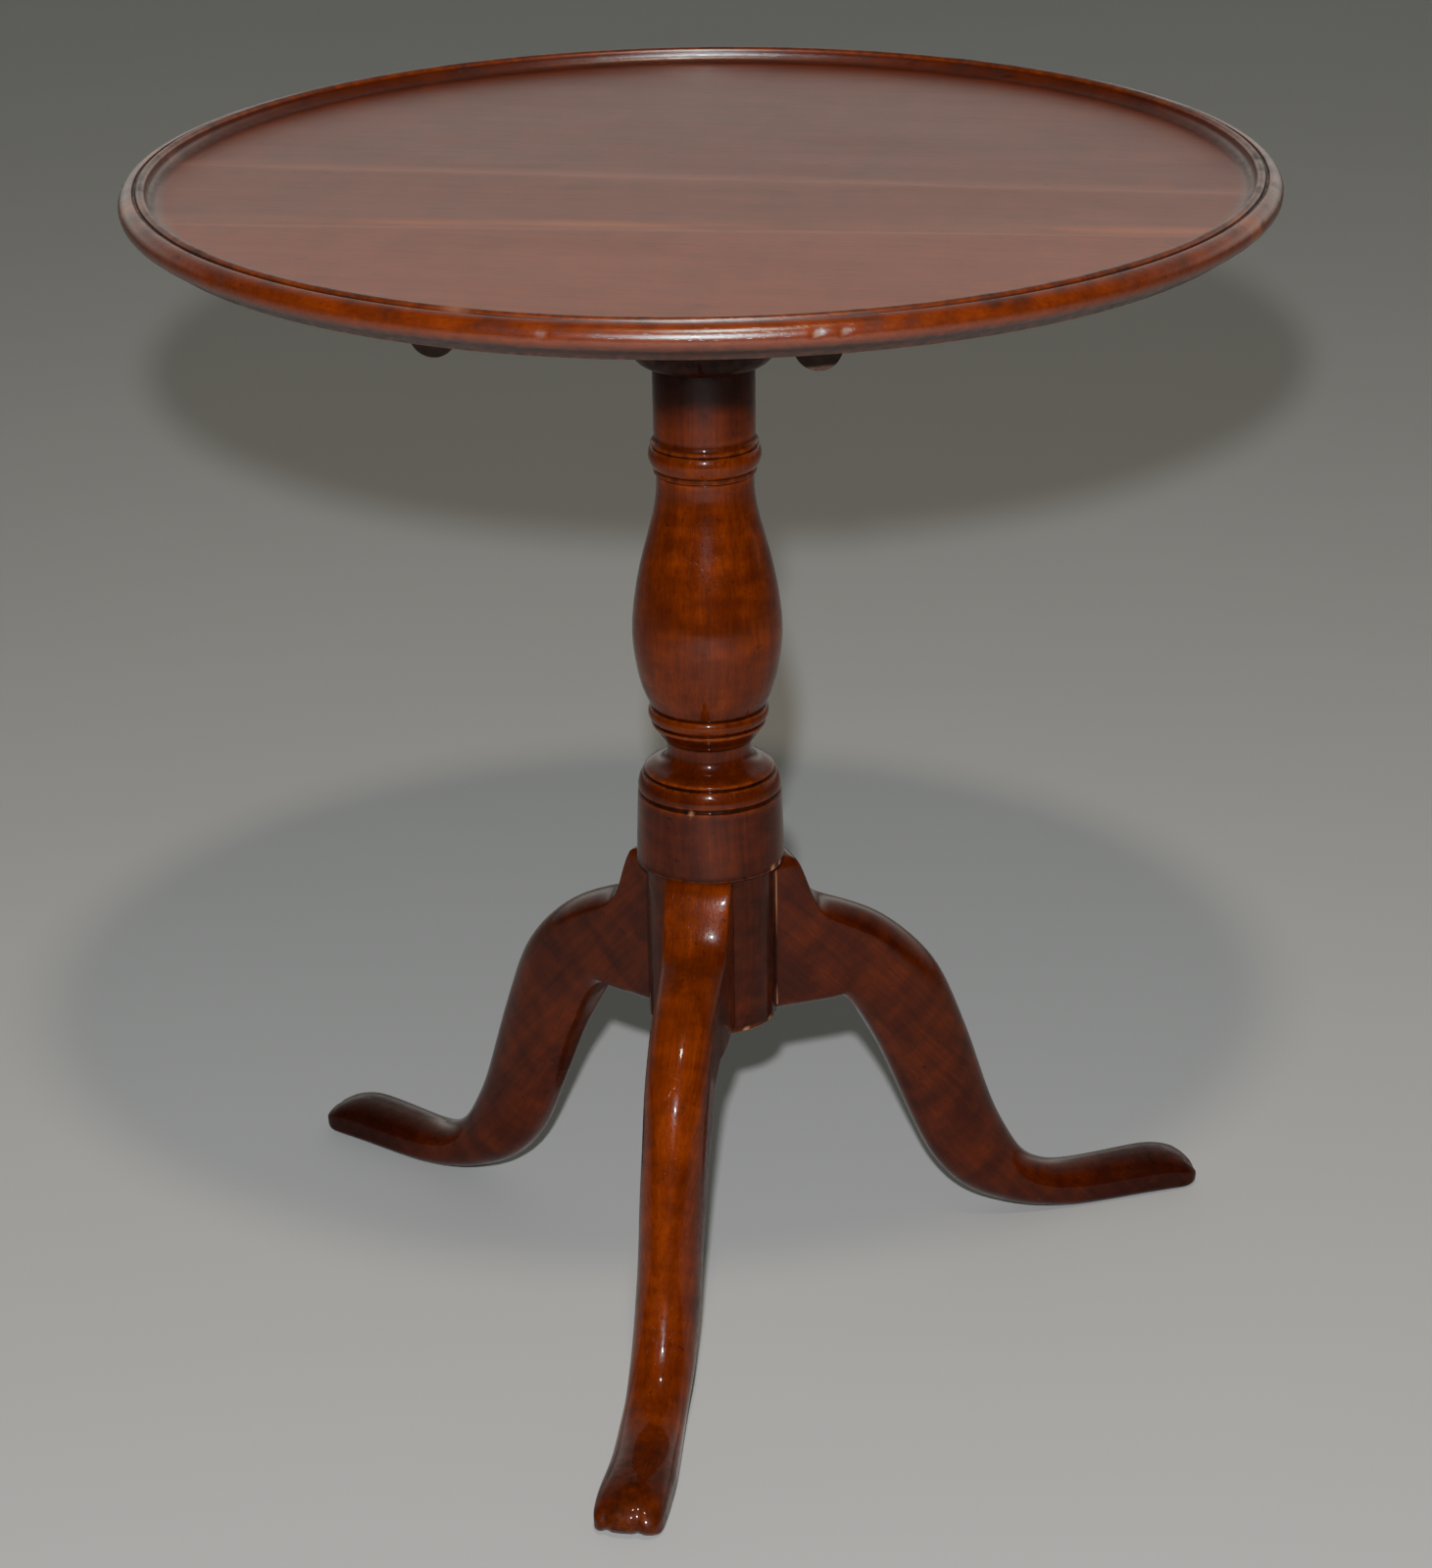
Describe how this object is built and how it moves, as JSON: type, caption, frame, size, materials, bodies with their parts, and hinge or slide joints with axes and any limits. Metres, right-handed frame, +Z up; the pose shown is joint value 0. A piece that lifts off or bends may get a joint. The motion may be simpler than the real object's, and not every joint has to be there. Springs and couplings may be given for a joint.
{
  "type": "tilt top table",
  "caption": "Round dished tilting top with a double-bead rim on a turned baluster pillar, with cabriole legs on pad feet and a brass snap catch.",
  "frame": {"origin": "on the floor, under the axis of the pillar and the centre of the level top", "axes": "+Z up; the single front leg points along -Y; the tilting line runs along X behind the pillar"},
  "size_m": [0.664, 0.6639, 0.71],
  "materials": {
    "mahogany_top": "polished",
    "mahogany_turned": "polished",
    "secondary_wood": "matte",
    "iron": "dull",
    "spring_steel": "satin",
    "brass": "worn"
  },
  "bodies": {
    "base": {"column": "mahogany_turned", "tilt_block": "secondary_wood", "tenon_wedge": "secondary_wood", "leg_front": "mahogany_turned", "leg_right": "mahogany_turned", "leg_left": "mahogany_turned", "iron_strap": "iron", "strap_screws": "iron", "keeper_plate": "brass", "keeper_screws": "iron"},
    "top": {"top_board_back": "mahogany_top", "top_board_middle": "mahogany_top", "top_board_front": "mahogany_top", "bearer_left": "secondary_wood", "bearer_right": "secondary_wood", "bearer_screws_left": "iron", "bearer_screws_right": "iron", "catch_plate": "brass", "catch_case": "brass", "catch_spring": "spring_steel", "catch_screws": "iron"},
    "bolt": {"catch_bolt": "brass", "catch_knob": "brass"}
  },
  "joints": [
    {"name": "top_tilt", "type": "hinge", "parent": "base", "child": "top", "pos_m": [0, 0.062, 0.674], "axis": [-1, 0, 0], "range_deg": [0, 90]},
    {"name": "catch_bolt_slide", "type": "slide", "parent": "top", "child": "bolt", "axis": [0, -1, 0], "range_m": [0, 0.009], "stiffness_N_per_m": 400, "springref_m": -0.015, "deforming": ["catch_spring"]}
  ]
}
